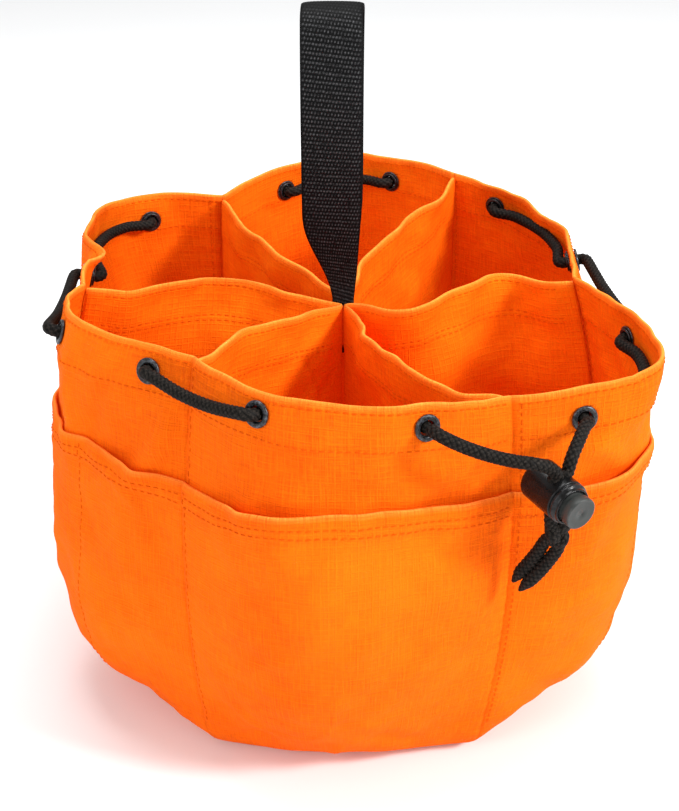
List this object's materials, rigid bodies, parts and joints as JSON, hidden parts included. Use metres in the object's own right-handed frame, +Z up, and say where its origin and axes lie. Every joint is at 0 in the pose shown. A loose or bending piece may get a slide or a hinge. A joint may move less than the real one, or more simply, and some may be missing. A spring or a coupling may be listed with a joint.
{
  "type": "electrician tool pouch",
  "caption": "Hexagonal canvas drawstring tool bag with radial dividers, outer pockets, a webbing loop handle and a barrel cord lock.",
  "frame": {"origin": "centre of the underside of the base, on the floor", "axes": "+Z up through the handle, -Y towards the wide front pocket, +X to the right seen from the front"},
  "size_m": [0.2756, 0.3044, 0.304],
  "materials": {
    "canvas": "woven ripstop canvas, matt",
    "canvas_inner": "woven ripstop canvas, matt, inside face",
    "webbing": "close-woven nylon webbing",
    "braid": "round braided cord",
    "enamel": "black enamel, worn at the rim",
    "lock_plastic": "satin moulded plastic",
    "button_plastic": "satin moulded plastic",
    "spring_steel": "drawn wire"
  },
  "bodies": {
    "bag": {"base_panel": "canvas", "wall_right_front": "canvas", "wall_right_back": "canvas", "wall_back": "canvas", "wall_left_back": "canvas", "wall_left_front": "canvas", "wall_front": "canvas", "pocket_right_front": "canvas", "pocket_right_back": "canvas", "pocket_back": "canvas", "pocket_left_back": "canvas", "pocket_left_front": "canvas", "pocket_front": "canvas", "eyelet_right_front_1": "enamel", "washer_right_front_1": "enamel", "eyelet_right_front_2": "enamel", "washer_right_front_2": "enamel", "eyelet_right_back_1": "enamel", "washer_right_back_1": "enamel", "eyelet_right_back_2": "enamel", "washer_right_back_2": "enamel", "eyelet_back_1": "enamel", "washer_back_1": "enamel", "eyelet_back_2": "enamel", "washer_back_2": "enamel", "eyelet_left_back_1": "enamel", "washer_left_back_1": "enamel", "eyelet_left_back_2": "enamel", "washer_left_back_2": "enamel", "eyelet_left_front_1": "enamel", "washer_left_front_1": "enamel", "eyelet_left_front_2": "enamel", "washer_left_front_2": "enamel", "eyelet_front_1": "enamel", "washer_front_1": "enamel", "eyelet_front_2": "enamel", "washer_front_2": "enamel", "divider_left": "canvas_inner", "divider_right": "canvas_inner", "divider_back": "canvas_inner", "handle_tail": "webbing", "drawcord_threaded": "braid"},
    "handle": {"handle_loop": "webbing"},
    "pull_cord": {"cord_leg_left": "braid", "cord_leg_right": "braid", "cord_through_lock_left": "braid", "cord_through_lock_right": "braid", "cord_knot": "braid", "cord_tail_left": "braid", "cord_tail_right": "braid"},
    "cord_lock": {"lock_barrel": "lock_plastic", "lock_spring": "spring_steel"},
    "button": {"lock_button": "button_plastic"}
  },
  "joints": [
    {"name": "handle_swing", "type": "hinge", "parent": "bag", "child": "handle", "pos_m": [0, 0, 0.1755], "axis": [1, 0, 0], "range_deg": [-60, 60]},
    {"name": "pull_cord_swing", "type": "hinge", "parent": "bag", "child": "pull_cord", "pos_m": [0.06215, -0.11529, 0.17068], "axis": [-0.9372, -0.3344, 0.0991], "range_deg": [0, 100], "deforming": ["cord_leg_left", "cord_leg_right"]},
    {"name": "lock_slide", "type": "slide", "parent": "pull_cord", "child": "cord_lock", "axis": [0, 0, 1], "range_m": [0, 0.012], "deforming": ["cord_leg_left", "cord_leg_right"]},
    {"name": "button_press", "type": "slide", "parent": "cord_lock", "child": "button", "axis": [-0.5248, 0.8398, 0.1392], "range_m": [0, 0.004], "stiffness_N_per_m": 1200, "deforming": ["lock_spring"]}
  ]
}
